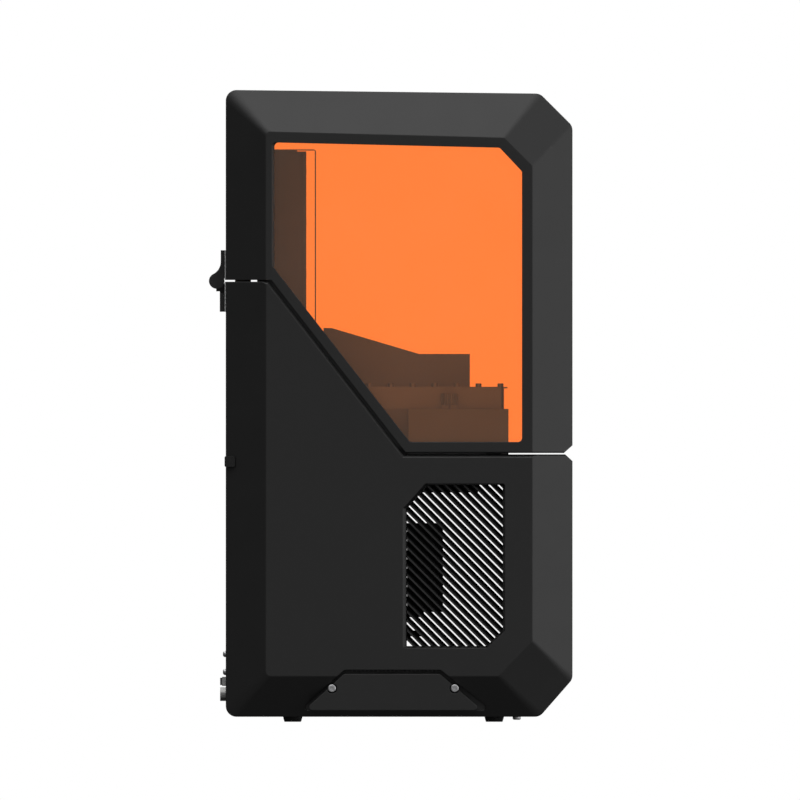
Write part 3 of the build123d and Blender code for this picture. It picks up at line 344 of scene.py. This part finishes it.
def thread_depth(phase):
    """Trapezoidal thread: how far below the crest at this part of a turn, from 0 to 1."""
    wave = abs((phase % 1.0) * 2 - 1)
    return min(1.0, max(0.0, (wave - CREST_SHARE) / FLANK_SHARE))


def thread_ring(mesh, centre, z, step):
    ring = []
    for i in range(THREAD_SIDES):
        turn = i / THREAD_SIDES
        radius = THREAD_CREST - THREAD_DEPTH * thread_depth(step / THREAD_STEPS - turn)
        x, y = radius * math.cos(turn * math.tau), radius * math.sin(turn * math.tau)
        ring.append(mesh.verts.new((centre.x + x, centre.y + y, z)))
    return ring


def coupler_profile(outer):
    """Plain cylinder with softened rims and a groove at each band."""
    groove = COUPLER_GROOVE
    profile = [(outer - groove, 0), (outer, groove)]
    for band in COUPLER_BANDS:
        profile += [(outer, band - groove), (outer - groove, band), (outer, band + groove)]
    return profile + [(outer, COUPLER_HEIGHT - groove), (outer - groove, COUPLER_HEIGHT)]


def make_lead_screw():
    """The screw with its trapezoidal thread, on a clamped coupler."""
    centre, size = middle_and_size("lead_screw")
    bottom, top = centre.z - size.z / 2, centre.z + size.z / 2
    start = bottom + COUPLER_HEIGHT
    pitch = THREAD_LEAD / THREAD_STEPS
    mesh = bmesh.new()
    steps = range(int((top - start) / pitch))
    skin(mesh, [thread_ring(mesh, centre, start + step * pitch, step) for step in steps])
    lathe(mesh, coupler_profile(size.x / 2), (centre.x, centre.y, bottom), count=40)
    screw = piece("lead_screw_threaded", mesh, "lead_screw", "pin_steel", smooth=True)
    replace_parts(screw, "lead_screw")


# ---- fans ----
BLADES = 7
BLADE_RINGS = 7
BLADE_CHORD = 8
BLADE_REACH = 35.2 * MM
BLADE_THICKNESS = 0.6 * MM
BLADE_DEPTH = 0.9
BLADE_LEAN = 0.95
LEAN_LOSS = 0.35
BLADE_SWEEP = 0.62
SWEEP_LOSS = 0.25
BLADE_CAMBER = 0.09
BLADE_EDGE = 0.12
BLADE_SINK = 1 * MM
HUB_RADIUS = 17 * MM
HUB_EDGE = 1.4 * MM
HUB_CAP = 2 * MM


def blade_point(share_out, share, start, span):
    """A point of the blade's middle surface: it sweeps round the hub, leans and flattens outwards."""
    lean = span * (BLADE_LEAN - LEAN_LOSS * share_out)
    sweep = BLADE_SWEEP * (1 - SWEEP_LOSS * share_out)
    camber = BLADE_CAMBER * math.sin(math.pi * share)
    return start + sweep * (share - 0.5) + camber, lean * (share - 0.5)


def blade_skin(mesh, centre, start, tip, span, side):
    """One face of a blade as a grid of vertices, from the root out to the tip."""
    root = HUB_RADIUS - BLADE_SINK
    grid = []
    for i in range(BLADE_RINGS):
        share_out = i / (BLADE_RINGS - 1)
        radius = root + (tip - root) * share_out
        row = []
        for j in range(BLADE_CHORD):
            share = j / (BLADE_CHORD - 1)
            angle, along = blade_point(share_out, share, start, span)
            across = BLADE_EDGE + (1 - 2 * BLADE_EDGE) * share
            thin = BLADE_THICKNESS * math.sin(math.pi * across) * side
            place = (radius * math.cos(angle), along + thin, radius * math.sin(angle))
            row.append(mesh.verts.new(centre + Vector(place)))
        grid.append(row)
    return grid


def close_blade(mesh, back, front):
    """Faces over the two grids of a blade and round its rim."""
    rows, columns = len(back), len(back[0])
    for i in range(rows - 1):
        for j in range(columns - 1):
            for grid in (back, front):
                mesh.faces.new((grid[i][j], grid[i][j + 1], grid[i + 1][j + 1], grid[i + 1][j]))
    rim = [(0, j) for j in range(columns)] + [(i, columns - 1) for i in range(1, rows)]
    rim += [(rows - 1, j) for j in range(columns - 2, -1, -1)] + [(i, 0) for i in range(rows - 2, 0, -1)]
    loop_faces(mesh, [back[i][j] for i, j in rim], [front[i][j] for i, j in rim])


def hub_profile(half):
    """Turned hub with softened rims, half its depth to either side."""
    inner = HUB_RADIUS - HUB_EDGE
    profile = [(HUB_CAP, -half), (inner, -half), (HUB_RADIUS, HUB_EDGE - half)]
    return profile + [(HUB_RADIUS, half - HUB_EDGE), (inner, half), (HUB_CAP, half)]


def make_rotor(node, body):
    """Fan rotor with a turned hub and curved blades, in place of the plain one."""
    centre, size = middle_and_size(node)
    tip = min(size.z / 2, BLADE_REACH)
    mesh = bmesh.new()
    lathe(mesh, hub_profile(size.y / 2), centre, axis="Y")
    for blade in range(BLADES):
        start = blade * math.tau / BLADES
        sides = [blade_skin(mesh, centre, start, tip, size.y * BLADE_DEPTH, side) for side in (-1, 1)]
        close_blade(mesh, *sides)
    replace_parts(piece(node + "_blades", mesh, body, "fan_plastic", smooth=True), node)


# ---- front display ----
# (inwards from the rim of the glass, forwards of the glass, corner radius), round the section
BEZEL_SECTION = [(0.0, 0.0, 2.0), (0.0, 0.3, 2.0), (1.0, 0.3, 1.6), (1.6, 0.0, 1.2)]
PICTURE_MARGIN_X = 7 * MM
PICTURE_MARGIN_Z = 5 * MM
PICTURE_CORNER = 0.8 * MM
# (inwards from the edge of the picture, forwards of the glass), from back to front
PICTURE_SECTION = [(0.0, -0.2), (0.0, 0.04), (0.05, 0.06)]


def make_bezel():
    """Thin bevelled frame over the rim of the touch glass, inside the opening of the front panel."""
    centre, size = middle_and_size("touch_screen")
    front = centre.y - size.y / 2
    mesh = bmesh.new()
    rings = []
    for inwards, rise, radius in BEZEL_SECTION:
        half_x, half_z = size.x / 2 - inwards * MM, size.z / 2 - inwards * MM
        rings.append(rounded_ring(mesh, centre, front - rise * MM, half_x, half_z, radius * MM))
    for first, second in zip(rings, rings[1:] + rings[:1]):
        loop_faces(mesh, first, second)
    piece("display_bezel", mesh, "base", "black_inner")


def make_display_area():
    """Dark grey picture area, a hair proud of the black glass round it."""
    centre, size = middle_and_size("touch_screen")
    front = centre.y - size.y / 2
    mesh = bmesh.new()
    rings = []
    for inwards, rise in PICTURE_SECTION:
        half_x = size.x / 2 - PICTURE_MARGIN_X - inwards * MM
        half_z = size.z / 2 - PICTURE_MARGIN_Z - inwards * MM
        rings.append(rounded_ring(mesh, centre, front - rise * MM, half_x, half_z, PICTURE_CORNER))
    skin(mesh, rings)
    piece("display_area", mesh, "base", "screen_glass")


# ---- rail bolts ----
BOLT_SPACING = 50 * MM
FIRST_BOLT = 25 * MM
LAST_BOLT_MARGIN = 10 * MM
RAIL_HALF_WIDTH = 6 * MM
CAP_RADIUS = 3.1 * MM
CAP_EDGE = 0.3 * MM
CAP_PROUD = 0.12 * MM
CAP_DISH = 0.3 * MM
DISH_RADIUS = 0.9 * MM


def make_rail_caps():
    """Caps over the bolt holes of both rails, almost flush, with a shallow dish."""
    low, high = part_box("rails")
    profile = [(CAP_RADIUS, 0), (CAP_RADIUS, -CAP_PROUD), (CAP_RADIUS - CAP_EDGE, -CAP_PROUD)]
    profile.append((DISH_RADIUS, CAP_DISH))
    mesh = bmesh.new()
    for x in (low.x + RAIL_HALF_WIDTH, high.x - RAIL_HALF_WIDTH):
        z = low.z + FIRST_BOLT
        while z < high.z - LAST_BOLT_MARGIN:
            lathe(mesh, profile, (x, low.y, z), axis="Y", count=24)
            z += BOLT_SPACING
    piece("rail_caps", mesh, "base", "pin_steel")


make_lead_screw()
make_rotor("cooling_fan_rotor", "cooling_fan")
make_rotor("exhaust_fan_rotor", "exhaust_fan")
make_bezel()
make_display_area()
make_rail_caps()


# ---- studio ----
FLOOR_SIZE = 8.0
SIDE_FILL_POWER = 0.12
SIDE_FILL_GAP = 3.5 * MM
TOP_FILL_POWER = 0.4
TOP_FILL_SIZE = (0.2, 0.22)
TOP_FILL_RISE = 20 * MM


def make_floor():
    bpy.ops.mesh.primitive_plane_add(size=FLOOR_SIZE, location=(0, 0, 0))
    floor = bpy.context.object
    floor.name = "studio_floor"
    floor.data.materials.append(pale_floor())
    floor.visible_glossy = False
    floor.visible_diffuse = False


def fill_light(name, place, size, turn, power):
    """Even white light inside the print chamber that the camera doesn't see."""
    data = bpy.data.lights.new(name, "AREA")
    data.shape = "RECTANGLE"
    data.size, data.size_y = size
    data.energy = power
    lamp = bpy.data.objects.new(name, data)
    lamp.location = place
    lamp.rotation_euler = (0, turn, 0)
    lamp.visible_camera = False
    bpy.context.collection.objects.link(lamp)


def light_chamber():
    """One fill inside each side window, and one under the top cover."""
    centre, size = middle_and_size("side_windows")
    inside = size.x / 2 - SIDE_FILL_GAP
    for side, name in ((-1, "fill_left"), (1, "fill_right")):
        place = (side * inside, centre.y, centre.z)
        fill_light(name, place, (size.z, size.y), side * math.radians(90), SIDE_FILL_POWER)
    above = centre.z + size.z / 2 + TOP_FILL_RISE
    fill_light("fill_top", (0, centre.y, above), TOP_FILL_SIZE, 0, TOP_FILL_POWER)


# directions that the room is lit from: (way, strength, full within degrees, gone beyond degrees)
LIT_WAYS = [
    ((-1, 0, 0), 0.24, 5, 76),
    ((-1, 0, 0), 0.35, 3, 13),
    ((-0.4, -0.9, 0.17), 1.5, 16, 43),
    ((-0.4, 0.1, 0.91), 2.25, 20, 48),
    ((-0.3, -0.6, 0.7), 0.15, 10, 35),
    ((-0.89, -0.455, 0), 1.7, 4, 11),
    ((0, 0.9, 0.43), 0.4, 10, 30),
]
ROOM_LEVEL = 0.02


def make_world():
    """White behind the object. For light and reflections it is a dim room with soft bright areas.

    The room is the same to the left and to the right.
    """
    world = bpy.data.worlds.new("studio")
    bpy.context.scene.world = world
    world.use_nodes = True
    tree = world.node_tree
    tree.nodes.clear()

    def add(kind, inputs, **settings):
        return add_node(tree, kind, inputs, **settings).outputs

    way = add("SeparateXYZ", {0: add("TexCoord", {})["Generated"]})
    across = add("Math", {0: way["X"]}, operation="ABSOLUTE")[0]
    left = add("Math", {0: across, 1: -1.0}, operation="MULTIPLY")[0]
    way = add("CombineXYZ", {0: left, 1: way["Y"], 2: way["Z"]})[0]
    level = ROOM_LEVEL
    for centre, strength, full, gone in LIT_WAYS:
        towards = {0: way, 1: Vector(centre).normalized()}
        near = add("VectorMath", towards, operation="DOT_PRODUCT")["Value"]
        spread = {
            "Value": near,
            "From Min": math.cos(math.radians(gone)),
            "From Max": math.cos(math.radians(full)),
            "To Max": strength,
        }
        lobe = add("MapRange", spread, interpolation_type="SMOOTHSTEP")["Result"]
        level = add("Math", {0: lobe, 1: level}, operation="ADD")[0]
    room = add("Background", {"Strength": level})[0]
    backdrop = add("Background", {"Color": (1, 1, 1, 1), "Strength": 1.0})[0]
    seen = add("LightPath", {})["Is Camera Ray"]
    add("OutputWorld", {"Surface": add("MixShader", {0: seen, 1: room, 2: backdrop})[0]})


VIEW_SIZE = 0.7798
CAMERA_PLACE = (-3.0, -0.00905, 0.3137)
CLIP_END = 20


def make_camera():
    """Level view of the left side, with no perspective."""
    data = bpy.data.cameras.new("camera")
    data.type = "ORTHO"
    data.ortho_scale = VIEW_SIZE
    data.clip_end = CLIP_END
    camera = bpy.data.objects.new("camera", data)
    camera.location = CAMERA_PLACE
    camera.rotation_euler = (math.radians(90), 0, math.radians(-90))
    bpy.context.collection.objects.link(camera)
    bpy.context.scene.camera = camera


make_camera()
make_world()
make_floor()
light_chamber()
bpy.context.scene.view_settings.view_transform = "Standard"
